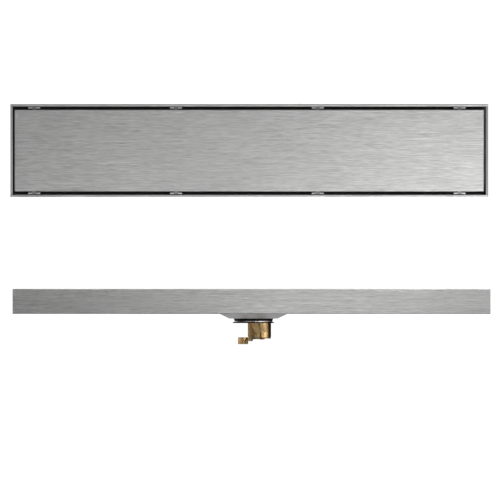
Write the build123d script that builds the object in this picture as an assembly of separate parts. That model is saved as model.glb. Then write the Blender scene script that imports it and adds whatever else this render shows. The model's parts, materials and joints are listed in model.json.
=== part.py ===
"""Linear shower drain: a folded steel channel with a lift-out cover, a hair strainer and a
brass odour-trap core whose weighted flap opens under water and swings shut by itself.

Millimetres, +Z up, +X along the channel. The origin is on the outlet axis, at mid height of
the seal's lower lip, where the waste pipe takes hold.
"""

from build123d import *
import os
from math import atan2, tan

# ---------------------------------------------------------------- driving dimensions

# channel, folded from stainless sheet
tray_length = 600.0
tray_width = 116.6
tray_height = 31.6
sheet = 1.5
hem_depth = 12.0
rim_rounding = 1.1
fold_rounding = 1.4         # outside of the bend between the floor and the long walls
outlet_offset = 2.45        # the outlet axis stands this far right of the channel's middle

# pressed dish under the outlet
dish_flat = 3.0             # flat land round the dish, welded into the floor
dish_run = 11.8             # how far the cone runs in, while it drops by its depth
dish_depth = 5.8
dish_margin = 4.4           # level bottom left outside the core's flange

# cover
side_gap = 4.0              # between the rim and the cover, along the long sides
end_gap = 2.5
cover_sheet = 1.5
cover_skirt = 14.0
cover_drop = 0.2            # the cover lies this far below the rim
cover_rounding = 0.95
cover_corner = 1.0

# bearers welded under the cover
bearer_width = 20.0
bearer_depth = 10.0
bearer_end_play = 0.3

# rests, four along each side
rest_count = 4
rest_pitch = 178.0
rest_shift = -3.0           # the row of rests stands this far from the channel's middle
rest_length = 15.0
rest_slot = 5.0
prong_from_rim = 0.8        # gap between the rim's fold and the prongs
prong_drop = 2.5            # the prongs end this far below the rim
ledge_width = 10.3
foot_length = 8.0
bend_radius = 1.4           # of the sheet's mid-line, in every folded bracket and bearer
pad_thickness = 1.0
pad_overhang = 0.9          # the pad shows this much each side of the cover's skirt

# tongues on the cover that drop between the prongs
tongue_play = 0.3
tongue_below_top = 4.7
tongue_flange = 6.5
tongue_reach = 3.0

# odour-trap core
neck_radius = 21.2
neck_wall = 2.5
neck_play = 0.2
bead_height = 0.6
bead_rise = 0.8
flange_reach = 4.8          # how far the flange stands out from the neck
flange_thickness = 1.6
gasket_thickness = 0.8
fit_gap = 0.05              # between rings and what they are pushed on to

# seal set round the neck, each reach measured out from it
upper_lip_thickness = 3.0
upper_lip_top_reach = 4.1
upper_lip_bottom_reach = 2.9
spacer_thickness = 1.3
spacer_reach = 2.8
lower_lip_thickness = 1.4
lower_lip_reach = 4.8

# cast horn below the seals, drawn to one side to make room for the flap
horn_length = 17.8
horn_reach = 1.0            # its right side stands out this far from the neck, under the lower lip
horn_top_radius = 14.7
horn_wall = 3.0
horn_lean = 0.4             # the outside stands this far left of the bore
horn_straight = 6.0         # the lower stretch with upright sides
horn_spigot_height = 5.0
horn_spigot_wall = 2.15
horn_plate = 2.0
bore_top_wall = 1.0         # least wall between the bore's mouth and the spigot's
bore_top_radius = 10.5
bore_radius = 9.0
seat_chamfer = 0.5

# hinge of the flap
pin_radius = 1.5
pin_overhang = 0.5
pin_play = 0.05
knuckle_wall = 0.9
knuckle_clear = 0.4         # between the knuckle's top and the horn's face
ear_side_play = 0.45        # between the counterweight and each ear as it swings up
ear_thickness = 1.6
ear_from_axis = 2.2         # the ears run on into the horn, up to this near its axis
ear_corner = 1.5            # the ear's upright edge ends this far above the seat
ear_seat_root = 0.6         # the ear's lower edge ends this far inside the flap's flat edge
knuckle_side_play = 0.2

# flap
seat_play = 0.05            # the gasket just clears its seat when the flap is shut
flap_gasket_thickness = 0.6
flap_gasket_margin = 1.9    # how far the gasket reaches past the bore
flap_disc_margin = 2.4
flap_disc_thickness = 1.0
flap_flat_play = 0.6        # between the knuckle and the disc's flat edge
seat_land = 1.4             # seat left between the flat edge and the bore
tongue_thickness = 0.8
flap_tongue_width = 8.0
rivet_radius = 1.2
rivet_head_radius = 2.5
rivet_head_height = 0.8
rivet_tail_height = 0.4

# counterweight on the lever's other end
weight_radius = 6.55
weight_gap = 3.7            # from the pin's axis to the weight's near side
weight_height = 8.8
weight_rise = 2.9           # its top stands this far above the pin's axis
weight_chamfer = 0.4
pin_chamfer = 0.3
lever_bar_width = 5.0
lever_bar_thickness = 4.0
lever_bar_play = 0.05
screw_radius = 1.25
screw_head_radius = 2.2
screw_head_height = 1.4
screw_play = 0.05
screwdriver_slot = 0.6
screwdriver_depth = 0.7

# hair strainer
strainer_sheet = 0.8
strainer_play = 0.7
strainer_clear = 0.5        # between its bottom and the horn's spigot
strainer_rim_inset = 1.0     # the rim stops this far inside the flange's edge
strainer_rim_thickness = 1.0
strainer_hole_radius = 1.25
strainer_hole_pitch = 4.1   # between rings of holes, each with six more than the last
strainer_first_ring = 5.5
knob_stem_radius = 1.8
knob_radius = 4.5
knob_height = 3.0
knob_rise = 8.0             # from the strainer's bottom to the knob
knob_tail_radius = 1.2
knob_chamfer = 0.8

# ---------------------------------------------------------------- heights and places

z_lip_low = -lower_lip_thickness / 2
z_lip_high = lower_lip_thickness / 2
z_spacer_top = z_lip_high + spacer_thickness
z_dish_bottom = z_spacer_top + upper_lip_thickness
z_underside = z_dish_bottom + dish_depth
z_floor = z_underside + sheet
z_rim = z_underside + tray_height

tray_middle = -outlet_offset
tray_left = tray_middle - tray_length / 2
tray_right = tray_middle + tray_length / 2
half_width = tray_width / 2
rim_width = 2 * sheet

cover_top = z_rim - cover_drop
cover_bottom = cover_top - cover_skirt
cover_half_width = half_width - rim_width - side_gap
cover_half_length = tray_length / 2 - rim_width - end_gap
skirt_inside = cover_half_width - cover_sheet
bearer_top = cover_top - cover_sheet
rest_places = [
    tray_middle + rest_shift + (i - (rest_count - 1) / 2) * rest_pitch for i in range(rest_count)
]

ledge_top = cover_bottom - pad_thickness
prong_outside = half_width - rim_width - prong_from_rim
wall_inside = half_width - sheet
tongue_top = cover_top - tongue_below_top

z_gasket = z_dish_bottom + sheet
z_flange = z_gasket + gasket_thickness
z_flange_top = z_flange + flange_thickness
neck_bore = neck_radius - neck_wall
flange_radius = neck_radius + flange_reach
dish_bottom_radius = flange_radius + dish_margin
dish_top_radius = dish_bottom_radius + dish_run
ring_bore = neck_radius + fit_gap
dish_hole = neck_radius + neck_play

horn_right = neck_radius + horn_reach
horn_radius = bore_radius + horn_wall
horn_centre = horn_right - horn_radius
horn_top_centre = horn_right - horn_top_radius
bore_centre = horn_centre + horn_lean
flap_flat = bore_centre - bore_radius - seat_land
knuckle_radius = pin_radius + knuckle_wall
pin_x = flap_flat - flap_flat_play - knuckle_radius
ear_left = horn_top_centre - horn_top_radius
ear_right = horn_centre - ear_from_axis

z_seat = z_lip_low - horn_length
z_horn_straight = z_seat + horn_straight
spigot_radius = neck_bore - fit_gap
spigot_bore = spigot_radius - horn_spigot_wall
z_spigot_top = z_lip_low + horn_spigot_height
bore_top_centre = spigot_bore - bore_top_radius - bore_top_wall
z_plate_top = z_lip_low + horn_plate

pin_z = z_seat - knuckle_radius - knuckle_clear
ear_inside = weight_radius + ear_side_play
ear_outside = ear_inside + ear_thickness
z_flap_gasket = z_seat - seat_play - flap_gasket_thickness
z_flap_disc = z_flap_gasket - flap_disc_thickness
z_tongue = z_flap_disc - tongue_thickness
knuckle_half = ear_inside - knuckle_side_play

weight_centre = pin_x - weight_gap - weight_radius
weight_middle = weight_centre + lever_bar_width / 2
z_weight_top = pin_z + weight_rise
z_weight_bottom = z_weight_top - weight_height
bar_top = pin_z + lever_bar_thickness / 2
bar_bottom = pin_z - lever_bar_thickness / 2

z_strainer_bottom = z_spigot_top + strainer_clear
z_strainer_plate = z_strainer_bottom + strainer_sheet
z_strainer_rim = z_flange_top + strainer_rim_thickness
strainer_rim_radius = flange_radius - strainer_rim_inset
strainer_radius = neck_bore - strainer_play
z_knob = z_strainer_plate + knob_rise


# ---------------------------------------------------------------- shapes used all over


def slab(x0, x1, y0, y1, z0, z1):
    """A box given by its faces."""
    centre = ((x0 + x1) / 2, (y0 + y1) / 2, (z0 + z1) / 2)
    return Pos(*centre) * Box(x1 - x0, y1 - y0, z1 - z0)


def rod(radius, z0, z1, x=0.0, y=0.0):
    """An upright cylinder between two heights."""
    return Pos(x, y, (z0 + z1) / 2) * Cylinder(radius, z1 - z0)


def cross_rod(radius, half_length, x, z):
    """A cylinder lying across the channel."""
    return Pos(x, 0, z) * Rot(90, 0, 0) * Cylinder(radius, 2 * half_length)


def ring(outer, inner, z0, z1):
    """A flat ring round the outlet axis."""
    return rod(outer, z0, z1) - rod(inner, z0 - 1, z1 + 1)


def turned(points):
    """A solid turned round the outlet axis from (radius, height) points."""
    profile = Plane.XZ * make_face(Polyline(*points, close=True))
    return revolve(profile, Axis.Z, 360)


def folded_x(points, x0, x1):
    """A section of (y, z) points drawn out along the channel."""
    section = Plane.YZ.offset(x0) * make_face(Polyline(*points, close=True))
    return extrude(section, x1 - x0)


def plate_xz(points, y0, y1):
    """A plate of (x, z) points standing across, between two y faces."""
    outline = Plane.XZ.offset(-y1) * make_face(Polyline(*points, close=True))
    return extrude(outline, y1 - y0)


def both_sides(make):
    """The same piece on the front and on the rear, as two lists of solids."""
    rear = [make(x) for x in rest_places]
    front = [mirror(piece, Plane.XZ) for piece in rear]
    return front, rear


def at_height(shape, z, longer_than=0.0):
    """The edges of a shape that lie flat at one height."""
    level = shape.edges().filter_by_position(Axis.Z, z - fit_gap, z + fit_gap)
    return [edge for edge in level if edge.length > longer_than]


def bent_sheet(points, thickness):
    """The face of a sheet folded along a mid-line, with a round bend at every corner."""
    return trace(FilletPolyline(*points, radius=bend_radius), thickness)


# ---------------------------------------------------------------- channel


def channel_shell():
    """Floor, long walls and their folded rims in one sheet, with the hole for the dish."""
    h, w, r = half_width, wall_inside, half_width - rim_width
    outline = [
        (-h, z_rim),
        (-h, z_underside),
        (h, z_underside),
        (h, z_rim),
        (r, z_rim),
        (r, z_rim - hem_depth),
        (w, z_rim - hem_depth),
        (w, z_floor),
        (-w, z_floor),
        (-w, z_rim - hem_depth),
        (-r, z_rim - hem_depth),
        (-r, z_rim),
    ]
    shell = folded_x(outline, tray_left, tray_right)
    shell = fillet(at_height(shell, z_rim, tray_width), rim_rounding)
    shell = fillet(at_height(shell, z_underside, tray_width), fold_rounding)
    return shell - rod(dish_top_radius + dish_flat, z_underside - 1, z_floor + 1)


def end_wall(outer, inward):
    """An end plate with its folded rim, set between the long walls."""
    y_wall, y_rim = wall_inside, half_width - rim_width
    face = outer + inward * sheet
    fold = outer + inward * rim_width
    lower = slab(min(outer, face), max(outer, face), -y_wall, y_wall, z_floor, z_rim - hem_depth)
    upper = slab(min(outer, fold), max(outer, fold), -y_rim, y_rim, z_rim - hem_depth, z_rim)
    upper = fillet(at_height(upper, z_rim, 2 * rim_width), rim_rounding)
    return lower + upper


def sump_dish():
    """The pressed cone that leads the floor down to the core."""
    lean = atan2(dish_depth, dish_top_radius - dish_bottom_radius)
    bend = sheet * tan(lean / 2)
    rim = dish_top_radius + dish_flat
    return turned(
        [
            (rim, z_underside),
            (dish_top_radius, z_underside),
            (dish_bottom_radius, z_dish_bottom),
            (dish_hole, z_dish_bottom),
            (dish_hole, z_gasket),
            (dish_bottom_radius - bend, z_gasket),
            (dish_top_radius - bend, z_floor),
            (rim, z_floor),
        ]
    )


def rest_bracket(x):
    """A folded rest: wall flange, ledge, leg and foot, with two prongs stood up from the ledge."""
    half = sheet / 2
    wall_line = wall_inside - half
    leg_line = wall_inside - ledge_width
    mid_line = [
        (wall_line, z_rim - hem_depth - fit_gap),
        (wall_line, ledge_top - half),
        (leg_line, ledge_top - half),
        (leg_line, z_floor + half),
        (leg_line - foot_length, z_floor + half),
    ]
    strip = extrude(Plane.YZ.offset(x - rest_length / 2) * bent_sheet(mid_line, sheet), rest_length)
    prongs = slab(
        x - rest_length / 2,
        x + rest_length / 2,
        prong_outside - sheet,
        prong_outside,
        ledge_top - half,
        z_rim - prong_drop,
    )
    slot = slab(
        x - rest_slot / 2,
        x + rest_slot / 2,
        prong_outside - 2 * sheet,
        prong_outside + fit_gap,
        ledge_top,
        z_rim,
    )
    return strip + (prongs - slot)


def rest_pad(x):
    """A rubber pad on the ledge, under the cover's skirt."""
    return slab(
        x - rest_length / 2,
        x + rest_length / 2,
        skirt_inside - pad_overhang,
        cover_half_width + pad_overhang,
        ledge_top,
        cover_bottom,
    )


# ---------------------------------------------------------------- cover


def cover_panel():
    """The plate people stand on, its edges folded down all round."""
    x0, x1 = tray_middle - cover_half_length, tray_middle + cover_half_length
    outside = slab(x0, x1, -cover_half_width, cover_half_width, cover_bottom, cover_top)
    outside = fillet(outside.edges().filter_by(Axis.Z), cover_corner)
    outside = fillet(at_height(outside, cover_top), cover_rounding)
    x0, x1 = x0 + cover_sheet, x1 - cover_sheet
    panel = outside - slab(x0, x1, -skirt_inside, skirt_inside, cover_bottom - 1, bearer_top)
    half_slot = rest_slot / 2 - tongue_play + fit_gap
    for x in rest_places:
        panel -= slab(
            x - half_slot,
            x + half_slot,
            -cover_half_width - 1,
            cover_half_width + 1,
            tongue_top - cover_sheet - fit_gap,
            tongue_top + fit_gap,
        )
    return panel


def cover_bearer(x):
    """An upside-down channel across the cover, over a pair of rests."""
    side = (bearer_width - cover_sheet) / 2
    end = skirt_inside - bearer_end_play
    top = bearer_top - cover_sheet / 2
    foot = bearer_top - bearer_depth
    mid_line = [(x - side, foot), (x - side, top), (x + side, top), (x + side, foot)]
    return extrude(Plane.XZ.offset(-end) * bent_sheet(mid_line, cover_sheet), 2 * end)


def locating_tongue(x):
    """A bent strip through the skirt that drops between a rest's prongs."""
    half = rest_slot / 2 - tongue_play
    flange_line = skirt_inside - bend_radius
    mid_line = [
        (flange_line, tongue_top - tongue_flange),
        (flange_line, tongue_top - cover_sheet / 2),
        (cover_half_width + tongue_reach, tongue_top - cover_sheet / 2),
    ]
    return extrude(Plane.YZ.offset(x - half) * bent_sheet(mid_line, cover_sheet), 2 * half)


# ---------------------------------------------------------------- core and its seals


def core_cup():
    """The turned flange and neck that stand in the dish."""
    bead = neck_radius + bead_rise
    return turned(
        [
            (neck_bore, z_lip_low),
            (bead, z_lip_low),
            (bead, z_lip_low + bead_height),
            (neck_radius, z_lip_low + bead_height),
            (neck_radius, z_flange),
            (flange_radius, z_flange),
            (flange_radius, z_flange_top),
            (neck_bore, z_flange_top),
        ]
    )


def flange_gasket():
    """The flat gasket between the core's flange and the dish."""
    return ring(flange_radius, dish_hole, z_gasket, z_flange)


def upper_lip_seal():
    """The thick upper lip, tapered so that it folds upwards in the pipe."""
    return turned(
        [
            (ring_bore, z_spacer_top),
            (neck_radius + upper_lip_bottom_reach, z_spacer_top),
            (neck_radius + upper_lip_top_reach, z_dish_bottom),
            (ring_bore, z_dish_bottom),
        ]
    )


def seal_spacer_ring():
    """The metal ring that keeps the lips apart."""
    return ring(neck_radius + spacer_reach, ring_bore, z_lip_high, z_spacer_top)


def lower_lip_seal():
    """The thin lower lip, counterbored for the neck's bead."""
    bead = neck_radius + bead_rise + fit_gap
    step = z_lip_low + bead_height + fit_gap
    return turned(
        [
            (bead, z_lip_low),
            (neck_radius + lower_lip_reach, z_lip_low),
            (neck_radius + lower_lip_reach, z_lip_high),
            (ring_bore, z_lip_high),
            (ring_bore, step),
            (bead, step),
        ]
    )


def circle_at(radius, x, z):
    """A level disc, for lofting."""
    return Pos(x, 0, z) * Circle(radius)


def horn_ear():
    """One ear of the hinge, as an outline with the knuckle's round end."""
    outline = [
        (ear_left, z_lip_low),
        (ear_left, z_seat + ear_corner),
        (pin_x - knuckle_radius, pin_z),
        (pin_x + knuckle_radius, pin_z),
        (flap_flat + ear_seat_root, z_seat),
        (ear_right, z_seat),
        (ear_right, z_lip_low),
    ]
    plate = plate_xz(outline, -ear_outside, ear_outside)
    plate += cross_rod(knuckle_radius, ear_outside, pin_x, pin_z)
    left = min(ear_left, pin_x - knuckle_radius) - 1
    bottom = pin_z - knuckle_radius - 1
    return plate - slab(left, ear_right, -ear_inside, ear_inside, bottom, z_lip_low)


def core_horn():
    """The cast horn: spigot, plate, eccentric body, hinge ears and the slanting bore."""
    top = circle_at(horn_top_radius, horn_top_centre, z_lip_low)
    waist = circle_at(horn_radius, horn_centre, z_horn_straight)
    body = loft([waist, top]) + rod(horn_radius, z_seat, z_horn_straight, horn_centre)
    spigot = rod(spigot_radius, z_lip_low, z_spigot_top) - rod(spigot_bore, z_plate_top, z_spigot_top + 1)
    outlet = circle_at(bore_radius, bore_centre, z_seat)
    inlet = circle_at(bore_top_radius, bore_top_centre, z_plate_top)
    bore = loft([outlet, inlet])
    mouth = Pos(bore_centre, 0, z_seat + seat_chamfer / 2) * Cone(
        bore_radius + seat_chamfer, bore_radius, seat_chamfer
    )
    holes = cross_rod(pin_radius + pin_play / 2, ear_outside + 1, pin_x, pin_z)
    return body + horn_ear() + spigot - bore - mouth - holes


def hinge_pin():
    """The pin through both ears."""
    half = ear_outside + pin_overhang
    pin = cross_rod(pin_radius, half, pin_x, pin_z)
    return chamfer(pin.edges().filter_by(GeomType.CIRCLE), pin_chamfer)


# ---------------------------------------------------------------- flap


def flap_blank(margin, z0, z1):
    """A disc over the bore, cut flat beside the knuckle, with the rivet's hole."""
    disc = rod(bore_radius + margin, z0, z1, bore_centre)
    disc &= slab(flap_flat, bore_centre * 4, -tray_width, tray_width, z0 - 1, z1 + 1)
    return disc - rod(rivet_radius + fit_gap, z0 - 1, z1 + 1, bore_centre)


def flap_lever():
    """Knuckle, bar for the counterweight and the tongue under the disc, in one casting."""
    knuckle = cross_rod(knuckle_radius, knuckle_half, pin_x, pin_z)
    bar = slab(weight_centre, pin_x, -lever_bar_width / 2, lever_bar_width / 2, bar_bottom, bar_top)
    half = flap_tongue_width / 2
    tongue = slab(pin_x, bore_centre, -half, half, z_tongue, z_flap_disc)
    tongue += rod(half, z_tongue, z_flap_disc, bore_centre)
    lever = knuckle + bar + tongue
    lever -= cross_rod(pin_radius + pin_play, ear_outside, pin_x, pin_z)
    lever -= rod(rivet_radius + fit_gap, z_tongue - 1, z_flap_disc + 1, bore_centre)
    return lever - rod(screw_radius + screw_play, bar_bottom - 1, bar_top + 1, weight_middle)


def flap_rivet():
    """The rivet that holds gasket, disc and tongue together."""
    shank = rod(rivet_radius, z_tongue, z_seat - seat_play, bore_centre)
    top = rod(rivet_head_radius, z_seat - seat_play, z_seat - seat_play + rivet_head_height, bore_centre)
    bottom = rod(rivet_head_radius, z_tongue - rivet_tail_height, z_tongue, bore_centre)
    return shank + top + bottom


def counterweight():
    """The brass slug that swings the flap shut, slotted for the lever's bar."""
    slug = chamfer(
        rod(weight_radius, z_weight_bottom, z_weight_top, weight_centre).edges().filter_by(GeomType.CIRCLE),
        weight_chamfer,
    )
    half = lever_bar_width / 2 + lever_bar_play
    slot = slab(
        weight_centre - lever_bar_play,
        weight_centre + 2 * weight_radius,
        -half,
        half,
        bar_bottom - lever_bar_play,
        bar_top + lever_bar_play,
    )
    hole = rod(screw_radius + screw_play, z_weight_bottom - 1, bar_top, weight_middle)
    sink_radius = screw_head_radius + screw_play
    sink = rod(sink_radius, z_weight_bottom - 1, z_weight_bottom + screw_head_height, weight_middle)
    return slug - slot - hole - sink


def weight_screw():
    """The screw up through the counterweight into the lever's bar."""
    head = rod(screw_head_radius, z_weight_bottom, z_weight_bottom + screw_head_height, weight_middle)
    slot = slab(
        weight_middle - 2 * screw_head_radius,
        weight_middle + 2 * screw_head_radius,
        -screwdriver_slot / 2,
        screwdriver_slot / 2,
        z_weight_bottom - 1,
        z_weight_bottom + screwdriver_depth,
    )
    return head - slot + rod(screw_radius, z_weight_bottom + screw_head_height, bar_top, weight_middle)


# ---------------------------------------------------------------- hair strainer


def strainer_cup():
    """The shallow perforated cup."""
    cup = rod(strainer_radius, z_strainer_bottom, z_strainer_rim)
    cup -= rod(strainer_radius - strainer_sheet, z_strainer_plate, z_strainer_rim + 1)
    radius, count = strainer_first_ring, 6
    while radius + strainer_hole_pitch / 2 < strainer_radius - strainer_sheet:
        for place in PolarLocations(radius, count):
            cup -= place * rod(strainer_hole_radius, z_strainer_bottom - 1, z_strainer_plate + 1)
        radius, count = radius + strainer_hole_pitch, count + 6
    return cup - rod(knob_tail_radius + fit_gap, z_strainer_bottom - 1, z_strainer_plate + 1)


def strainer_rim():
    """The flat rim that carries the cup on the core's flange."""
    return ring(strainer_rim_radius, strainer_radius + fit_gap, z_flange_top, z_strainer_rim)


def strainer_knob():
    """The knob that the strainer is lifted by, riveted through the cup's bottom."""
    z_top = z_knob + knob_height
    return turned(
        [
            (0, z_strainer_bottom),
            (knob_tail_radius, z_strainer_bottom),
            (knob_tail_radius, z_strainer_plate),
            (knob_stem_radius, z_strainer_plate),
            (knob_stem_radius, z_knob),
            (knob_radius - knob_chamfer, z_knob),
            (knob_radius, z_knob + knob_chamfer),
            (knob_radius, z_top - knob_chamfer),
            (knob_radius - knob_chamfer, z_top),
            (0, z_top),
        ]
    )


# ---------------------------------------------------------------- write every piece

front_rests, rear_rests = both_sides(rest_bracket)
front_pads, rear_pads = both_sides(rest_pad)
front_tongues, rear_tongues = both_sides(locating_tongue)

pieces = {
    "channel_shell": channel_shell(),
    "end_wall_left": end_wall(tray_left, 1),
    "end_wall_right": end_wall(tray_right, -1),
    "sump_dish": sump_dish(),
    "rest_brackets_front": Compound(front_rests),
    "rest_brackets_rear": Compound(rear_rests),
    "rest_pads_front": Compound(front_pads),
    "rest_pads_rear": Compound(rear_pads),
    "cover_panel": cover_panel(),
    "cover_bearers": Compound([cover_bearer(x) for x in rest_places]),
    "locating_tongues_front": Compound(front_tongues),
    "locating_tongues_rear": Compound(rear_tongues),
    "core_cup": core_cup(),
    "flange_gasket": flange_gasket(),
    "upper_lip_seal": upper_lip_seal(),
    "seal_spacer_ring": seal_spacer_ring(),
    "lower_lip_seal": lower_lip_seal(),
    "core_horn": core_horn(),
    "hinge_pin": hinge_pin(),
    "flap_lever": flap_lever(),
    "flap_disc": flap_blank(flap_disc_margin, z_flap_disc, z_flap_gasket),
    "flap_gasket": flap_blank(flap_gasket_margin, z_flap_gasket, z_seat - seat_play),
    "flap_rivet": flap_rivet(),
    "counterweight": counterweight(),
    "weight_screw": weight_screw(),
    "strainer_cup": strainer_cup(),
    "strainer_rim": strainer_rim(),
    "strainer_knob": strainer_knob(),
}

os.makedirs("parts", exist_ok=True)
for name, shape in pieces.items():
    export_step(shape, f"parts/{name}.step")
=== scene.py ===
"""Linear shower drain: brushed steel channel and cover, with a brass odour-trap core below."""

import json
from math import cos, pi, radians, sin, sqrt

import bmesh
import bpy
from mathutils import Matrix, Vector


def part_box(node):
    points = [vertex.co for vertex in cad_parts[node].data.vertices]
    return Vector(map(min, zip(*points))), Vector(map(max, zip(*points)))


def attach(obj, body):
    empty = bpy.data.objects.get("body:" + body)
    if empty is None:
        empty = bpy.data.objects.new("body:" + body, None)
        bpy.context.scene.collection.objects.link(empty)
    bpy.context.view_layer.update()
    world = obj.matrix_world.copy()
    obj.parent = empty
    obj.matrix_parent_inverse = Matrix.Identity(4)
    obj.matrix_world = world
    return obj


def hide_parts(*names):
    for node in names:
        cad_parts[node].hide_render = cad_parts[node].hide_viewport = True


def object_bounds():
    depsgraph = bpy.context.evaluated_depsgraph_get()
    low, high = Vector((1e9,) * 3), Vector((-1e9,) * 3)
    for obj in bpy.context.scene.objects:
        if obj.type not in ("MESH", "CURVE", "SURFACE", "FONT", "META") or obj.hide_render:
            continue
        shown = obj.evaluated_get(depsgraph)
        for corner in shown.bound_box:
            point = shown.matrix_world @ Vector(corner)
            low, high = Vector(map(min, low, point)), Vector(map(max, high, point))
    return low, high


bl_info = {
    "name": "Linear shower drain",
    "version": (1, 0, 0),
    "blender": (4, 5, 0),
    "location": "View3D > Sidebar > Drain",
    "description": "Finishes the drain's pieces and sets up its studio",
    "category": "Object",
}

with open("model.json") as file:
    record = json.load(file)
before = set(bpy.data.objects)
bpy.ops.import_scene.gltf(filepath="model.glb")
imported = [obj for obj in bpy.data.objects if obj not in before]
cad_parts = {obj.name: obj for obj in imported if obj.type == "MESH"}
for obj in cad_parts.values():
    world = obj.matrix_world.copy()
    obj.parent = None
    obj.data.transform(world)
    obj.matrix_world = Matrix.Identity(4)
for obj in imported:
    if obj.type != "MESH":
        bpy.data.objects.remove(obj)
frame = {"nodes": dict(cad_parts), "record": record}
NODES = frame["nodes"]
LOW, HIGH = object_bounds()
MM = 0.001
BODY_OF = {node: body for body, nodes in frame["record"]["behaviour"]["bodies"].items() for node in nodes}

TRAY_LOW, TRAY_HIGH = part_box("channel_shell")
TRAY_MIDDLE = (TRAY_LOW + TRAY_HIGH) / 2


# ---------------------------------------------------------------- settings


class DrainFinishes(bpy.types.PropertyGroup):
    """Colours, as sRGB hex values, and the sizes of each finish's pattern."""

    steel_light: bpy.props.StringProperty(
        name="Steel, light", description="Crest of the brushed grain", default="#DADAD9"
    )
    steel_dark: bpy.props.StringProperty(
        name="Steel, dark", description="Valley of the brushed grain", default="#A6A6A6"
    )
    # darker than plain mill skin: partly the unbrushed skin's own tone, partly painted shade that darkens the
    # deep gap round the cover
    inside_steel_and_shade: bpy.props.StringProperty(
        name="Steel inside", description="Unbrushed inside of the channel", default="#7A7A7A"
    )
    brass_light: bpy.props.StringProperty(
        name="Brass, light", description="Freshly turned brass", default="#DFC08E"
    )
    brass_dark: bpy.props.StringProperty(
        name="Brass, dark", description="Tarnished brass", default="#C49D68"
    )
    brass_worn: bpy.props.StringProperty(
        name="Brass, worn", description="Edges that handling keeps bright", default="#F0D8AC"
    )
    rubber: bpy.props.StringProperty(name="Rubber", description="EPDM rubber", default="#050505")
    grain_length: bpy.props.FloatProperty(
        name="Grain length", description="Length of a short brushed streak", default=0.014, unit="LENGTH"
    )
    grain_width: bpy.props.FloatProperty(
        name="Grain width", description="Width of a brushed streak", default=0.00024, unit="LENGTH"
    )


class DrainStudio(bpy.types.PropertyGroup):
    """The camera, the mirrors above it and the floor."""

    frame_width: bpy.props.FloatProperty(
        name="Frame width", description="Width that the camera takes in", default=0.6276, unit="LENGTH"
    )
    camera_height: bpy.props.FloatProperty(
        name="Camera height", description="Height of the picture's middle", default=0.0911, unit="LENGTH"
    )
    camera_side: bpy.props.FloatProperty(
        name="Camera side step", description="How far the camera stands left of the channel's middle",
        default=-0.0019, unit="LENGTH",
    )
    plan_height: bpy.props.FloatProperty(
        name="Plan height", description="Height in the picture of the view from above",
        default=0.2160, unit="LENGTH",
    )
    plan_side: bpy.props.FloatProperty(
        name="Plan side step", description="How far right the view from above is moved",
        default=-0.0025, unit="LENGTH",
    )
    mirror_distance: bpy.props.FloatProperty(
        name="Mirror distance", description="From the object to each mirror", default=40.0, unit="LENGTH"
    )
    mirror_reach: bpy.props.FloatProperty(
        name="Mirror reach", description="Half height of the band the mirrors show",
        default=0.072, unit="LENGTH",
    )
    floor_gap: bpy.props.FloatProperty(
        name="Floor gap", description="From the shut flap down to the floor, which the open flap clears",
        default=0.0168, unit="LENGTH",
    )
    floor_half_length: bpy.props.FloatProperty(
        name="Floor half length", description="Half the floor's length, along the channel",
        default=0.37, unit="LENGTH",
    )
    floor_half_width: bpy.props.FloatProperty(
        name="Floor half width", description="Half the floor's width, across the channel",
        default=0.16, unit="LENGTH",
    )


# ---------------------------------------------------------------- shader helpers

# the sockets of a Mix node share their names, so those that mix two colours go by number
BY, FIRST, SECOND = 0, 6, 7
MIXED = 2
# the part of its range that smooth noise mostly keeps to
NOISE_SPAN = {"From Min": 0.3, "From Max": 0.7}
# turns a ramp round, so that it falls from one to nothing
FALLING = {"To Min": 1.0, "To Max": 0.0}


def linear(colour):
    """An sRGB hex value as a linear colour with alpha."""
    channels = [int(colour[i : i + 2], 16) / 255 for i in (1, 3, 5)]
    return tuple(c / 12.92 if c <= 0.04045 else ((c + 0.055) / 1.055) ** 2.4 for c in channels) + (1.0,)


def add(tree, kind, inputs=None, **settings):
    """Adds a node: settings go to its attributes, and each input takes a value or another node's socket."""
    node = tree.nodes.new(kind)
    for name, value in settings.items():
        setattr(node, name, value)
    for name, value in (inputs or {}).items():
        if isinstance(value, bpy.types.NodeSocket):
            tree.links.new(value, node.inputs[name])
        else:
            node.inputs[name].default_value = value
    return node


def new_material(name):
    """An empty node material and its output."""
    material = bpy.data.materials.new(name)
    material.use_nodes = True
    tree = material.node_tree
    tree.nodes.clear()
    return material, tree, add(tree, "ShaderNodeOutputMaterial")


def stretched_noise(tree, size, detail=3.0, roughness=0.6, offset=(0.0, 0.0, 0.0)):
    """Noise whose grain measures size = (x, y, z) metres, on object coordinates."""
    place = add(tree, "ShaderNodeTexCoord").outputs["Object"]
    scale = [1 / s for s in size]
    mapped = add(tree, "ShaderNodeMapping", {"Vector": place, "Scale": scale, "Location": offset})
    noise = add(
        tree,
        "ShaderNodeTexNoise",
        {"Vector": mapped.outputs["Vector"], "Scale": 1.0, "Detail": detail, "Roughness": roughness},
    )
    return noise.outputs["Fac"]


def worn_edge(tree, radius):
    """One where an edge has been rubbed, within a radius of it, and nothing on the open faces."""
    rounded = add(tree, "ShaderNodeBevel", {"Radius": radius}, samples=6).outputs["Normal"]
    plain = add(tree, "ShaderNodeNewGeometry").outputs["Normal"]
    turn = add(tree, "ShaderNodeVectorMath", {0: rounded, 1: plain}, operation="DOT_PRODUCT").outputs["Value"]
    # a turn of 14 degrees starts to show as wear, and one of 41 degrees is bare
    wear = add(tree, "ShaderNodeMapRange", {"Value": turn, "From Min": 0.97, "From Max": 0.75})
    return wear.outputs["Result"]


# ---------------------------------------------------------------- finishes


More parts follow.
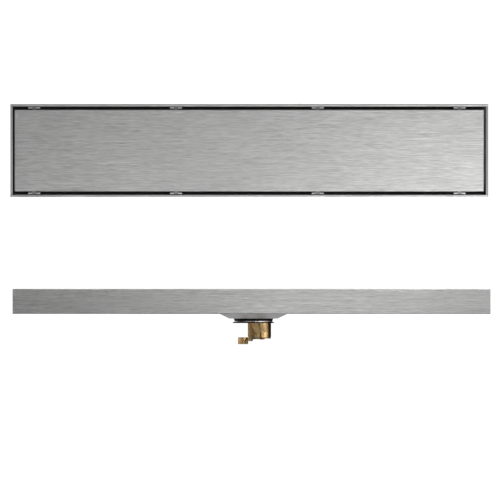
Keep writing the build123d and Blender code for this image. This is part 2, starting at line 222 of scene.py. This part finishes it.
def brushed_304(name, finishes, along=0, inside=False):
    """AISI 304 sheet, belt-brushed along one axis: parallel scratches draw highlights out across them."""
    material, tree, output = new_material(name)
    across = 1 if along == 0 else 2
    # long streaks run through the short grain: how long they are, and how much they lighten or darken it
    streak_length = 4.5 * finishes.grain_length
    streak_depth = 0.17
    facing = add(tree, "ShaderNodeNewGeometry").outputs["Normal"]
    facing = add(tree, "ShaderNodeSeparateXYZ", {"Vector": facing}).outputs["XYZ"[along]]
    steep = add(tree, "ShaderNodeMath", {0: facing}, operation="ABSOLUTE").outputs[0]
    # one on the cut ends of the sheet, which are ground along their own length, and the reverse
    turned = {"Value": steep, "From Min": 0.7, "From Max": 0.9}
    cut_end = add(tree, "ShaderNodeMapRange", turned).outputs["Result"]
    not_cut = add(tree, "ShaderNodeMapRange", turned | FALLING).outputs["Result"]
    sizes = [finishes.grain_width] * 3
    sizes[along] = finishes.grain_length
    # the real scratches are about 0.05 mm wide; they are drawn this coarse so that they show
    grain = stretched_noise(tree, sizes, detail=3.0, roughness=0.6)
    sizes[along] = streak_length
    streaks = stretched_noise(tree, sizes, detail=2.0, offset=(3.1, 1.7, 5.3))
    depth = {"Value": streaks, **NOISE_SPAN, "To Min": -streak_depth, "To Max": streak_depth}
    streaks = add(tree, "ShaderNodeMapRange", depth).outputs["Result"]
    brushed = add(tree, "ShaderNodeMath", {0: grain, 1: streaks}, operation="ADD").outputs[0]
    sizes = [finishes.grain_width] * 3
    sizes[across] = finishes.grain_length / 2
    ground = stretched_noise(tree, sizes, detail=3.0, roughness=0.6, offset=(7.7, 2.9, 0.6))
    scratches = add(tree, "ShaderNodeMix", {0: cut_end, 2: brushed, 3: ground}, data_type="FLOAT").outputs[0]
    lit = {"Value": scratches, "From Min": 0.36, "From Max": 0.64}
    crest = add(tree, "ShaderNodeMapRange", lit).outputs["Result"]
    colours = {BY: crest, FIRST: linear(finishes.steel_dark), SECOND: linear(finishes.steel_light)}
    colour = add(tree, "ShaderNodeMix", colours, data_type="RGBA").outputs[MIXED]
    # inside, the colour turns darker: partly mill skin, partly painted shade
    if inside:
        colour = mill_skin_and_painted_shade(tree, colour, linear(finishes.inside_steel_and_shade))
    bump = add(tree, "ShaderNodeBump", {"Strength": 0.8, "Distance": 0.05 * MM, "Height": crest})
    brushed_way = add(tree, "ShaderNodeCombineXYZ", {"XYZ"[along]: not_cut, "XYZ"[across]: cut_end})
    gloss = add(tree, "ShaderNodeMapRange", {"Value": crest, "To Min": 0.46, "To Max": 0.38})
    shader = add(
        tree,
        "ShaderNodeBsdfPrincipled",
        {
            "Base Color": colour,
            "Metallic": 1.0,
            "Roughness": gloss.outputs["Result"],
            "Normal": bump.outputs["Normal"],
            "Tangent": brushed_way.outputs["Vector"],
            "Anisotropic": 0.85,
            "Anisotropic Rotation": 0.25,
        },
    )
    tree.links.new(shader.outputs[0], output.inputs["Surface"])
    return material


def mill_skin_and_painted_shade(tree, colour, mill):
    """Turns to the darker mill skin on the inside of the channel, from just below the rim to the floor:
    partly the unbrushed skin's own tone, partly painted shade that darkens the deep gap round the cover.
    """
    skin = 1.0 * MM
    fade_foot, fade_top = TRAY_HIGH.z - 3.0 * MM, TRAY_HIGH.z - 1.4 * MM
    inside_floor = TRAY_LOW.z + 0.8 * MM
    place = add(tree, "ShaderNodeTexCoord").outputs["Object"]
    axes = add(tree, "ShaderNodeSeparateXYZ", {"Vector": place})
    x_from_middle = add(
        tree, "ShaderNodeMath", {0: axes.outputs["X"], 1: TRAY_MIDDLE.x}, operation="SUBTRACT"
    ).outputs[0]
    half = (TRAY_HIGH - TRAY_LOW) / 2
    depth = {"Value": axes.outputs["Z"], "From Min": fade_foot, "From Max": fade_top}
    mill_skin_and_shade_mask = add(tree, "ShaderNodeMapRange", depth | FALLING).outputs["Result"]
    for distance, reach in ((x_from_middle, half.x - skin), (axes.outputs["Y"], half.y - skin)):
        distance = add(tree, "ShaderNodeMath", {0: distance}, operation="ABSOLUTE").outputs[0]
        within = add(tree, "ShaderNodeMath", {0: distance, 1: reach}, operation="LESS_THAN").outputs[0]
        mill_skin_and_shade_mask = add(tree, "ShaderNodeMath", {0: mill_skin_and_shade_mask, 1: within}, operation="MULTIPLY").outputs[0]
    above_floor = add(
        tree, "ShaderNodeMath", {0: axes.outputs["Z"], 1: inside_floor}, operation="GREATER_THAN"
    ).outputs[0]
    mill_skin_and_shade_mask = add(tree, "ShaderNodeMath", {0: mill_skin_and_shade_mask, 1: above_floor}, operation="MULTIPLY").outputs[0]
    skin_and_shade = {BY: mill_skin_and_shade_mask, FIRST: colour, SECOND: mill}
    return add(tree, "ShaderNodeMix", skin_and_shade, data_type="RGBA").outputs[MIXED]


def satin_304(name, light, dark, roughness=0.32):
    """Pressed, turned or mill-finish 304: a fine even mottle with no direction, duller in broad clouds."""
    material, tree, output = new_material(name)
    # the real skin's grain is near 0.05 mm; it is drawn this coarse so that it shows
    grain = 0.9 * MM
    mottle = stretched_noise(tree, [grain] * 3, detail=4.0)
    cloud = stretched_noise(tree, [grain * 14] * 3, detail=2.0, offset=(1.3, 4.4, 2.2))
    spots = add(tree, "ShaderNodeMapRange", {"Value": mottle, **NOISE_SPAN}).outputs["Result"]
    colours = {BY: spots, FIRST: linear(dark), SECOND: linear(light)}
    colour = add(tree, "ShaderNodeMix", colours, data_type="RGBA").outputs[MIXED]
    dull = {"Value": cloud, **NOISE_SPAN, "To Min": roughness - 0.05, "To Max": roughness + 0.07}
    bump = add(tree, "ShaderNodeBump", {"Strength": 0.25, "Distance": 0.01 * MM, "Height": mottle})
    shader = add(
        tree,
        "ShaderNodeBsdfPrincipled",
        {
            "Base Color": colour,
            "Metallic": 1.0,
            "Roughness": add(tree, "ShaderNodeMapRange", dull).outputs["Result"],
            "Normal": bump.outputs["Normal"],
        },
    )
    tree.links.new(shader.outputs[0], output.inputs["Surface"])
    return material


def yellow_brass(name, finishes, roughness=0.24, rings=0.0):
    """CW617N brass, cast or turned: a patchy tarnish, tool marks where turned, and edges rubbed bright."""
    material, tree, output = new_material(name)
    tarnish = stretched_noise(tree, [6 * MM] * 3, detail=5.0, roughness=0.65)
    skin = stretched_noise(tree, [0.5 * MM] * 3, detail=3.0, offset=(2.0, 0.4, 1.1))
    marks = stretched_noise(tree, [9 * MM, 9 * MM, 0.25 * MM], detail=2.0)
    fresh = add(tree, "ShaderNodeMapRange", {"Value": tarnish, **NOISE_SPAN}).outputs["Result"]
    colours = {BY: fresh, FIRST: linear(finishes.brass_dark), SECOND: linear(finishes.brass_light)}
    colour = add(tree, "ShaderNodeMix", colours, data_type="RGBA").outputs[MIXED]
    rubbed = {BY: worn_edge(tree, 0.35 * MM), FIRST: colour, SECOND: linear(finishes.brass_worn)}
    colour = add(tree, "ShaderNodeMix", rubbed, data_type="RGBA").outputs[MIXED]
    dull = {"Value": tarnish, **NOISE_SPAN, "To Min": roughness + 0.08, "To Max": roughness - 0.04}
    height = add(tree, "ShaderNodeMath", {0: marks, 1: rings, 2: skin}, operation="MULTIPLY_ADD").outputs[0]
    bump = add(tree, "ShaderNodeBump", {"Strength": 0.1, "Distance": 0.002 * MM, "Height": height})
    shader = add(
        tree,
        "ShaderNodeBsdfPrincipled",
        {
            "Base Color": colour,
            "Metallic": 1.0,
            "Roughness": add(tree, "ShaderNodeMapRange", dull).outputs["Result"],
            "Normal": bump.outputs["Normal"],
        },
    )
    tree.links.new(shader.outputs[0], output.inputs["Surface"])
    return material


def epdm_rubber(name, colour):
    """Moulded EPDM: near black, with a faint bloom and a fine mould texture."""
    material, tree, output = new_material(name)
    bloom = stretched_noise(tree, [4 * MM] * 3, detail=4.0)
    grit = stretched_noise(tree, [0.3 * MM] * 3, detail=2.0)
    base = linear(colour)
    bloomed = tuple(c + 0.004 for c in base[:3]) + (1.0,)
    patches = {"Value": bloom, "From Min": 0.4, "From Max": 0.7}
    patchy = add(tree, "ShaderNodeMapRange", patches).outputs["Result"]
    colours = {BY: patchy, FIRST: base, SECOND: bloomed}
    dull = {"Value": bloom, **NOISE_SPAN, "To Min": 0.44, "To Max": 0.6}
    bump = add(tree, "ShaderNodeBump", {"Strength": 0.3, "Distance": 0.04 * MM, "Height": grit})
    shader = add(
        tree,
        "ShaderNodeBsdfPrincipled",
        {
            "Base Color": add(tree, "ShaderNodeMix", colours, data_type="RGBA").outputs[MIXED],
            "Roughness": add(tree, "ShaderNodeMapRange", dull).outputs["Result"],
            "Specular IOR Level": 0.2,
            "Normal": bump.outputs["Normal"],
        },
    )
    tree.links.new(shader.outputs[0], output.inputs["Surface"])
    return material


def dress(material, *names):
    """Gives CAD nodes or pieces a material in place of their own."""
    for name in names:
        piece = NODES[name] if isinstance(name, str) else name
        if not piece.data.materials:
            piece.data.materials.append(material)
        for slot in piece.material_slots:
            slot.material = material


# ---------------------------------------------------------------- modelling helpers

SMOOTH_ANGLE = radians(35)
EDGE_ANGLE = radians(32)
FLAT_ANGLE = radians(1)
WELD = 0.002 * MM
SPIN_STEPS = 160


def edit(piece, *tools):
    """Runs edit-mode tools on one piece, each given as a function of the piece."""
    bpy.ops.object.select_all(action="DESELECT")
    piece.select_set(True)
    bpy.context.view_layer.objects.active = piece
    bpy.ops.object.mode_set(mode="EDIT")
    for tool in tools:
        tool(piece)
    bpy.ops.object.mode_set(mode="OBJECT")


def pick(piece, test):
    """Selects the vertices whose place passes the test, and nothing else."""
    mesh = bmesh.from_edit_mesh(piece.data)
    for part in (*mesh.verts, *mesh.edges, *mesh.faces):
        part.select = False
    bpy.context.tool_settings.mesh_select_mode = (True, False, False)
    for vertex in mesh.verts:
        vertex.select = bool(test(vertex.co))
    mesh.select_flush_mode()
    bmesh.update_edit_mesh(piece.data)


def settle(piece, name, node):
    """Puts a finished piece on the node's body, smooth across soft edges."""
    bpy.ops.object.select_all(action="DESELECT")
    piece.select_set(True)
    bpy.context.view_layer.objects.active = piece
    bpy.ops.object.transform_apply(location=True, rotation=True, scale=True)
    bpy.ops.object.shade_smooth_by_angle(angle=SMOOTH_ANGLE)
    piece.name = name
    piece.data.name = name
    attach(piece, BODY_OF[node])
    return piece


def add_modifier(piece, kind, **settings):
    """Adds a modifier with its settings and applies it."""
    bpy.context.view_layer.objects.active = piece
    modifier = piece.modifiers.new(kind.lower(), kind)
    for key, value in settings.items():
        setattr(modifier, key, value)
    bpy.ops.object.modifier_apply(modifier=modifier.name)


def softened(node, name, width, segments=2):
    """The node's shape with its edges broken by a small round, as a file or a tumbler leaves them."""
    piece = NODES[node].copy()
    piece.data = NODES[node].data.copy()
    piece.parent = None
    piece.modifiers.clear()
    bpy.context.collection.objects.link(piece)
    edit(
        piece,
        lambda _: bpy.ops.mesh.select_all(action="SELECT"),
        lambda _: bpy.ops.mesh.remove_doubles(threshold=WELD),
        lambda _: bpy.ops.mesh.dissolve_limited(angle_limit=FLAT_ANGLE),
    )
    bpy.ops.object.select_all(action="DESELECT")
    piece.select_set(True)
    add_modifier(
        piece, "BEVEL", width=width, segments=segments, limit_method="ANGLE",
        angle_limit=EDGE_ANGLE, use_clamp_overlap=True, miter_outer="MITER_ARC",
    )
    settle(piece, name, node)
    # the broad faces keep their own direction, and the small rounds blend between them
    add_modifier(piece, "WEIGHTED_NORMAL", keep_sharp=True, mode="FACE_AREA", weight=100)
    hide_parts(node)
    return piece


def spun(section, name, node):
    """A closed section of edges in the XZ plane, turned round the outlet axis."""
    edit(
        section,
        lambda _: bpy.ops.mesh.select_all(action="SELECT"),
        lambda _: bpy.ops.mesh.spin(
            steps=SPIN_STEPS, angle=2 * pi, use_auto_merge=True, center=(0, 0, 0), axis=(0, 0, 1)
        ),
        lambda _: bpy.ops.mesh.select_all(action="SELECT"),
        lambda _: bpy.ops.mesh.remove_doubles(threshold=WELD),
        lambda _: bpy.ops.mesh.normals_make_consistent(inside=False),
    )
    settle(section, name, node)
    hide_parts(node)
    return section


def section_frame(x0, x1, z0, z1):
    """The four edges of a section in the XZ plane, to be shaped and spun."""
    bpy.ops.object.select_all(action="DESELECT")
    place = ((x0 + x1) / 2, 0, (z0 + z1) / 2)
    bpy.ops.mesh.primitive_plane_add(size=1, location=place, rotation=(pi / 2, 0, 0))
    section = bpy.context.object
    section.scale = (x1 - x0, z1 - z0, 1)
    bpy.ops.object.transform_apply(location=True, rotation=True, scale=True)
    edit(
        section,
        lambda _: bpy.ops.mesh.select_all(action="SELECT"),
        lambda _: bpy.ops.mesh.delete(type="ONLY_FACE"),
    )
    return section


# ---------------------------------------------------------------- operators


class DRAIN_OT_cover(bpy.types.Operator):
    """Finish the cover and what is welded under it"""

    bl_idname = "drain.cover"
    bl_label = "Cover"

    def execute(self, context):
        finishes = context.scene.drain_finishes
        # folded from sheet brushed along its length before folding
        dress(brushed_304("brushed_cover_sheet", finishes), "cover_panel")
        # folded from sheet left as it came from the mill
        mill = satin_304("mill_finish_bearers", "#B4B4B4", "#8C8C8C", roughness=0.4)
        dress(mill, "cover_bearers", "locating_tongues_front", "locating_tongues_rear")
        return {"FINISHED"}


class DRAIN_OT_channel(bpy.types.Operator):
    """Finish the channel, its ends and the pressed dish"""

    bl_idname = "drain.channel"
    bl_label = "Channel"

    def execute(self, context):
        finishes = context.scene.drain_finishes
        # sheet brushed outside along the channel, with the mill skin left inside, darkened there further as
        # painted shade
        dress(brushed_304("brushed_channel_sheet", finishes, inside=True), "channel_shell")
        # the end plates are brushed across the channel, level with the floor; their inside is darkened as
        # painted shade too
        ends = brushed_304("brushed_end_plates", finishes, along=1, inside=True)
        dress(ends, "end_wall_left", "end_wall_right")
        # drawn in a press, which leaves it smooth and even
        dress(satin_304("pressed_dish_sheet", "#E6E6E7", "#D4D4D6"), "sump_dish")
        return {"FINISHED"}


class DRAIN_OT_rests(bpy.types.Operator):
    """Finish the folded rests and their pads"""

    bl_idname = "drain.rests"
    bl_label = "Rests and pads"

    def execute(self, context):
        finishes = context.scene.drain_finishes
        # folded from bright-annealed strip
        folded = satin_304("folded_rest_sheet", "#EDEDED", "#DADADA")
        for side in ("front", "rear"):
            dress(folded, softened(f"rest_brackets_{side}", f"rests_{side}", 0.3 * MM))
        # die-cut from rubber sheet
        dress(epdm_rubber("pad_rubber", finishes.rubber), "rest_pads_front", "rest_pads_rear")
        return {"FINISHED"}


class DRAIN_OT_core(bpy.types.Operator):
    """Finish the brass core, its seals and the hinge pin"""

    bl_idname = "drain.core"
    bl_label = "Odour-trap core"

    def execute(self, context):
        finishes = context.scene.drain_finishes
        # gravity-cast, then tumbled
        cast = yellow_brass("cast_brass_skin", finishes, roughness=0.26)
        # turned on a lathe, with the tool's rings left round it
        turned = yellow_brass("turned_brass", finishes, roughness=0.2, rings=0.6)
        dress(cast, softened("core_horn", "horn_casting", 0.25 * MM))
        dress(turned, softened("core_cup", "core_flange_and_neck", 0.2 * MM))
        rubber = epdm_rubber("seal_rubber", finishes.rubber)
        dress(rubber, self.upper_lip(), self.lower_lip(), "flange_gasket")
        # a ring parted off from tube
        dress(satin_304("turned_ring_steel", "#F2ECE8", "#E0DAD6", roughness=0.4), "seal_spacer_ring")
        # a length of bright drawn wire
        dress(satin_304("drawn_pin_steel", "#D8D4CC", "#BAB6AE", roughness=0.2), "hinge_pin")
        return {"FINISHED"}

    def upper_lip(self):
        """The thick lip: a hollowed flank that flares out to a thin rounded edge at the top."""
        low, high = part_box("upper_lip_seal")
        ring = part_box("seal_spacer_ring")[1].x
        ring_wall = 2.7 * MM
        bore = ring - ring_wall
        foot = ring + 0.1 * MM
        hollow = 0.35 * MM
        rounding = 0.3 * MM
        near_end = 0.1 * MM
        lip = section_frame(bore, high.x, low.z, high.z)

        def outside(place):
            return place.x > bore + MM

        def at_foot(place):
            return outside(place) and place.z < low.z + near_end

        def at_ends(place):
            return at_foot(place) or (outside(place) and place.z > high.z - near_end)

        def between_ends(place):
            return outside(place) and low.z + 4 * near_end < place.z < high.z - 4 * near_end

        edit(
            lip,
            lambda piece: pick(piece, at_foot),
            lambda _: bpy.ops.transform.translate(value=(foot - high.x, 0, 0)),
            lambda piece: pick(piece, outside),
            lambda _: bpy.ops.mesh.subdivide(number_cuts=3),
            lambda piece: pick(piece, between_ends),
            lambda _: bpy.ops.transform.translate(value=(-hollow, 0, near_end)),
            lambda piece: pick(piece, at_ends),
            lambda _: bpy.ops.mesh.bevel(offset=rounding, segments=4, affect="VERTICES"),
        )
        return spun(lip, "upper_lip", "upper_lip_seal")

    def lower_lip(self):
        """The thin lip, rounded at its edge."""
        low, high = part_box("lower_lip_seal")
        flange_overhang = 3.9 * MM
        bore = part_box("core_cup")[1].x - flange_overhang
        rounding = 0.5 * MM
        lip = section_frame(bore, high.x, low.z, high.z)
        edit(
            lip,
            lambda piece: pick(piece, lambda place: place.x > bore + MM),
            lambda _: bpy.ops.mesh.bevel(offset=rounding, segments=5, affect="VERTICES"),
        )
        return spun(lip, "lower_lip", "lower_lip_seal")


class DRAIN_OT_flap(bpy.types.Operator):
    """Finish the flap, its lever and the counterweight"""

    bl_idname = "drain.flap"
    bl_label = "Weighted flap"

    def execute(self, context):
        finishes = context.scene.drain_finishes
        # the lever is cast and tumbled, and the disc is stamped and tumbled with it
        tumbled = yellow_brass("flap_casting", finishes)
        dress(tumbled, softened("flap_lever", "lever_casting", 0.2 * MM))
        dress(tumbled, softened("flap_disc", "flap_plate", 0.15 * MM))
        # turned from bar
        turned = yellow_brass("turned_weight", finishes, roughness=0.2, rings=0.6)
        dress(turned, softened("counterweight", "weight_slug", 0.2 * MM))
        dress(turned, softened("flap_rivet", "rivet", 0.3 * MM, 3))
        dress(epdm_rubber("flap_gasket_rubber", finishes.rubber), "flap_gasket")
        dress(satin_304("screw_steel", "#C8C4BC", "#A8A49C"), "weight_screw")
        return {"FINISHED"}


class DRAIN_OT_strainer(bpy.types.Operator):
    """Finish the hair strainer"""

    bl_idname = "drain.strainer"
    bl_label = "Hair strainer"

    def execute(self, context):
        # pressed and perforated, then electropolished
        polished = satin_304("polished_strainer", "#D4D4D4", "#C0C0C0", roughness=0.18)
        dress(
            polished,
            softened("strainer_cup", "strainer_bowl", 0.12 * MM),
            softened("strainer_rim", "strainer_flange", 0.25 * MM, 3),
            softened("strainer_knob", "lifting_knob", 0.5 * MM, 4),
        )
        return {"FINISHED"}


def stage_sheet(name, shape, material):
    """A flat square two units across, shaped by a matrix, for the studio."""
    bpy.ops.object.select_all(action="DESELECT")
    bpy.ops.mesh.primitive_plane_add(size=2)
    sheet = bpy.context.object
    sheet.name = name
    sheet.data.transform(shape)
    sheet.data.materials.append(material)


def mirror(name, centre, normal, half_side, half_height):
    """A flat silvered sheet that faces along its normal."""
    z_axis = Vector(normal).normalized()
    y_axis = z_axis.cross(Vector((1, 0, 0))).normalized()
    x_axis = y_axis.cross(z_axis)
    turn = Matrix((x_axis, y_axis, z_axis)).transposed().to_4x4()
    size = Matrix.Diagonal((half_side, half_height, 1, 1))
    material, tree, output = new_material(name + "_silver")
    gloss = add(tree, "ShaderNodeBsdfGlossy", {"Color": (1, 1, 1, 1), "Roughness": 0.0})
    tree.links.new(gloss.outputs[0], output.inputs["Surface"])
    stage_sheet(name, Matrix.Translation(centre) @ turn @ size, material)


def softbox(name, place, target, size, brightness, spread=180.0):
    """A rectangular area light of a given radiance aimed at a point, unseen by the camera itself."""
    bpy.ops.object.light_add(type="AREA", location=place)
    lamp = bpy.context.object
    lamp.name = name
    lamp.data.shape = "RECTANGLE"
    lamp.data.size, lamp.data.size_y = size
    lamp.data.energy = brightness * pi * size[0] * size[1]
    lamp.data.spread = radians(spread)
    lamp.rotation_euler = (Vector(target) - Vector(place)).to_track_quat("-Z", "Y").to_euler()
    lamp.visible_camera = False


class DRAIN_OT_studio(bpy.types.Operator):
    """Set up the floor, mirrors, camera, world and lights"""

    bl_idname = "drain.studio"
    bl_label = "Studio"

    def execute(self, context):
        studio = context.scene.drain_studio
        self.floor(studio)
        self.mirrors(studio)
        self.camera(context, studio)
        self.world(context)
        self.lights()
        self.flags()
        context.scene.view_settings.view_transform = "Standard"
        context.scene.view_settings.look = "None"
        return {"FINISHED"}

    def floor(self, studio):
        """A glowing table under the object: white to the camera, dimmer to the object, clear from below."""
        material, tree, output = new_material("white_floor")
        rays = add(tree, "ShaderNodeLightPath")
        # the camera's rays by way of the mirrors are the only others as long as this
        by_mirror = add(
            tree, "ShaderNodeMath", {0: rays.outputs["Ray Length"], 1: studio.mirror_distance / 2},
            operation="GREATER_THAN",
        ).outputs[0]
        seen = add(
            tree, "ShaderNodeMath", {0: rays.outputs["Is Camera Ray"], 1: by_mirror}, operation="MAXIMUM"
        ).outputs[0]
        levels = {"Value": seen, "To Min": FLOOR_LEVEL, "To Max": WHITE}
        strength = add(tree, "ShaderNodeMapRange", levels).outputs["Result"]
        glow = add(tree, "ShaderNodeEmission", {"Color": (1, 1, 1, 1), "Strength": strength})
        behind = add(tree, "ShaderNodeNewGeometry").outputs["Backfacing"]
        clear = add(tree, "ShaderNodeBsdfTransparent")
        sheet = add(tree, "ShaderNodeMixShader", {0: behind, 1: glow.outputs[0], 2: clear.outputs[0]})
        tree.links.new(sheet.outputs[0], output.inputs["Surface"])
        size = Matrix.Diagonal((studio.floor_half_length, studio.floor_half_width, 1, 1))
        place = Matrix.Translation((TRAY_MIDDLE.x, 0, LOW.z - studio.floor_gap))
        stage_sheet("floor", place @ size, material)

    def mirrors(self, studio):
        """Two mirrors, out of sight, fold the upper part of the view over the object and down on to it."""
        far, reach = studio.mirror_distance, studio.mirror_reach
        margin = 10 * MM
        half = studio.frame_width / 2 + margin
        slant = sqrt(0.5)
        side = TRAY_MIDDLE.x + studio.camera_side
        near = Vector((side, -far, studio.plan_height))
        top = Vector((side, 0, studio.plan_height + far))
        turn_up = Vector((0, slant - 1, slant))
        turn_down = Vector((-studio.plan_side / far, -slant, -1 - slant))
        mirror("mirror_near", near, turn_up, half, reach / sin(pi / 8))
        mirror("mirror_top", top, turn_down, half, reach / cos(pi / 8) * 1.05)

    def camera(self, context, studio):
        """A parallel camera that looks straight at the front wall."""
        place = (TRAY_MIDDLE.x + studio.camera_side, -studio.mirror_distance - 2, studio.camera_height)
        bpy.ops.object.camera_add(location=place, rotation=(pi / 2, 0, 0))
        camera = bpy.context.object
        camera.data.type = "ORTHO"
        camera.data.ortho_scale = studio.frame_width
        camera.data.clip_start = 0.01
        camera.data.clip_end = 200
        context.scene.camera = camera

    def world(self, context):
        """White to the camera; to the object, a soft room that is dimmest straight ahead and behind."""
        world = bpy.data.worlds.new("soft_room")
        context.scene.world = world
        world.use_nodes = True
        tree = world.node_tree
        tree.nodes.clear()
        output = add(tree, "ShaderNodeOutputWorld")
        way = add(tree, "ShaderNodeTexCoord").outputs["Generated"]
        axes = add(tree, "ShaderNodeSeparateXYZ", {"Vector": way})
        sideways = add(tree, "ShaderNodeMath", {0: axes.outputs["X"]}, operation="ABSOLUTE").outputs[0]
        # it grows lighter upwards, below the horizon and towards both ends of the channel
        upwards = {"Value": axes.outputs["Z"], "To Min": HORIZON_LEVEL, "To Max": ZENITH_LEVEL}
        below = {"Value": axes.outputs["Z"], "From Min": -0.06, "From Max": 0.0}
        below |= {"To Min": GROUND_LEVEL - HORIZON_LEVEL, "To Max": 0.0}
        ends = {"Value": sideways, "From Min": 0.3, "From Max": 0.7, "To Max": SIDE_LEVEL}
        room = add(tree, "ShaderNodeMapRange", upwards).outputs["Result"]
        for part in (below, ends):
            part = add(tree, "ShaderNodeMapRange", part).outputs["Result"]
            room = add(tree, "ShaderNodeMath", {0: room, 1: part}, operation="ADD").outputs[0]
        seen = add(tree, "ShaderNodeLightPath").outputs["Is Camera Ray"]
        levels = {"Value": seen, "To Min": room, "To Max": WHITE}
        strength = add(tree, "ShaderNodeMapRange", levels).outputs["Result"]
        back = add(tree, "ShaderNodeBackground", {"Color": (1, 1, 1, 1), "Strength": strength})
        tree.links.new(back.outputs[0], output.inputs["Surface"])

    def flags(self):
        """Small black cards that draw the dark sides of the brass, unseen by the camera."""
        black, tree, output = new_material("black_card")
        card = add(tree, "ShaderNodeBsdfDiffuse", {"Color": (0.004, 0.004, 0.004, 1)})
        tree.links.new(card.outputs[0], output.inputs["Surface"])
        for name, low, high in FLAGS:
            bpy.ops.object.select_all(action="DESELECT")
            bpy.ops.mesh.primitive_cube_add(size=1)
            flag = bpy.context.object
            flag.name = name
            low, high = Vector(low), Vector(high)
            size = Matrix.Diagonal((*(high - low), 1))
            flag.data.transform(Matrix.Translation((low + high) / 2) @ size)
            flag.data.materials.append(black)
            flag.visible_camera = False

    def lights(self):
        """Soft boxes in front, soft boxes above, brighter to the right, and a small key for the brass."""
        for name, x0, x1, brightness in FRONT_BOXES:
            place = Vector(((x0 + x1) / 2, FRONT_BOX_Y, FRONT_BOX_Z))
            softbox(name, place, place + Vector((0, 1, 0)), (x1 - x0, FRONT_BOX_HEIGHT), brightness)
        for name, x0, x1, brightness in TOP_BOXES:
            place = Vector(((x0 + x1) / 2, TOP_BOX_Y, TOP_BOX_Z))
            softbox(name, place, place - Vector((0, 0, 1)), (x1 - x0, TOP_BOX_DEPTH), brightness)
        softbox("core_key", CORE_KEY_PLACE, CORE_KEY_AIM, CORE_KEY_SIZE, CORE_LEVEL, CORE_KEY_SPREAD)


# each black card's name, and its lowest and highest corner
FLAGS = (
    ("flag_right", (0.0600, -0.012, -0.0275), (0.0605, 0.060, 0.006)),
    ("flag_left", (-0.0455, -0.040, -0.0160), (-0.0450, 0.000, 0.006)),
    ("flag_front", (-0.0040, -0.0505, -0.0275), (0.0090, -0.0500, 0.004)),
    ("flag_weight", (0.0020, -0.0225, -0.0275), (0.0340, -0.0220, -0.0195)),
    ("flag_front_left", (-0.1600, -0.0515, -0.0175), (-0.0300, -0.0510, 0.004)),
)

# each soft box's name, where it starts and ends along the channel, and its radiance
FRONT_BOXES = (
    ("front_middle", -0.05, 0.07, 0.5),
    ("front_right", 0.07, 0.14, 1.0),
    ("front_far_right", 0.14, 0.21, 1.5),
)
TOP_BOXES = (
    ("top_left", -0.26, 0.00, 2.4),
    ("top_right", 0.12, 0.26, 2.5),
    ("top_far_right", 0.26, 0.50, 6.0),
)
FRONT_BOX_Y = -0.6
FRONT_BOX_Z = 0.03
FRONT_BOX_HEIGHT = 1.0
TOP_BOX_Y = -0.4
TOP_BOX_Z = 0.65
TOP_BOX_DEPTH = 0.5
CORE_KEY_PLACE = (0.115, -0.105, -0.012)
CORE_KEY_AIM = (0.012, 0, -0.01)
CORE_KEY_SIZE = (0.09, 0.028)
CORE_KEY_SPREAD = 50.0
# the backdrop's radiance to the camera: a little past white, so that it is white all over
WHITE = 1.1
# the radiance that the object gets from the key, the floor and the room
CORE_LEVEL = 0.3
FLOOR_LEVEL = 0.4
HORIZON_LEVEL = 0.15
GROUND_LEVEL = 0.35
SIDE_LEVEL = 0.5
ZENITH_LEVEL = 0.3


class DRAIN_PT_panel(bpy.types.Panel):
    """The drain's operators in the sidebar"""

    bl_idname = "DRAIN_PT_panel"
    bl_label = "Shower drain"
    bl_space_type = "VIEW_3D"
    bl_region_type = "UI"
    bl_category = "Drain"

    def draw(self, context):
        for operator in OPERATORS:
            self.layout.operator(operator.bl_idname)


OPERATORS = (
    DRAIN_OT_cover,
    DRAIN_OT_channel,
    DRAIN_OT_rests,
    DRAIN_OT_core,
    DRAIN_OT_flap,
    DRAIN_OT_strainer,
    DRAIN_OT_studio,
)
CLASSES = (DrainFinishes, DrainStudio, DRAIN_PT_panel) + OPERATORS


def register():
    for cls in CLASSES:
        bpy.utils.register_class(cls)
    bpy.types.Scene.drain_finishes = bpy.props.PointerProperty(type=DrainFinishes)
    bpy.types.Scene.drain_studio = bpy.props.PointerProperty(type=DrainStudio)


def unregister():
    del bpy.types.Scene.drain_studio
    del bpy.types.Scene.drain_finishes
    for cls in reversed(CLASSES):
        bpy.utils.unregister_class(cls)


def main():
    """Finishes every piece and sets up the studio."""
    register()
    bpy.ops.drain.cover()
    bpy.ops.drain.channel()
    bpy.ops.drain.rests()
    bpy.ops.drain.core()
    bpy.ops.drain.flap()
    bpy.ops.drain.strainer()
    bpy.ops.drain.studio()


if __name__ == "__main__":
    main()
